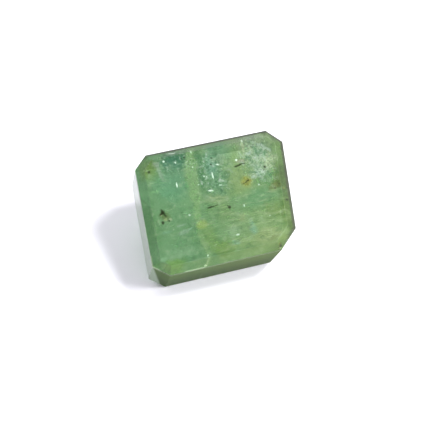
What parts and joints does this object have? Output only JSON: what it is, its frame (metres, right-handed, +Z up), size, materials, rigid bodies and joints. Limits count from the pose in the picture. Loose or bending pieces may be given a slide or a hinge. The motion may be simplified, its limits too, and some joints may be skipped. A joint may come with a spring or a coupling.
{
  "type": "faceted gemstone",
  "caption": "Green, included grandidierite cut as an octagon with steps and a flat table, lying tilted on a large facet of its underside.",
  "frame": {"origin": "middle of the bounding box, on the ground that the stone lies on", "axes": "+X along the stone's long side, +Z up, and the table leans towards -Y"},
  "size_m": [0.0088, 0.0072, 0.0058],
  "materials": {
    "grandidierite": "polished, included and milky green"
  },
  "bodies": {
    "root": {"cut_stone": "grandidierite"}
  },
  "joints": []
}
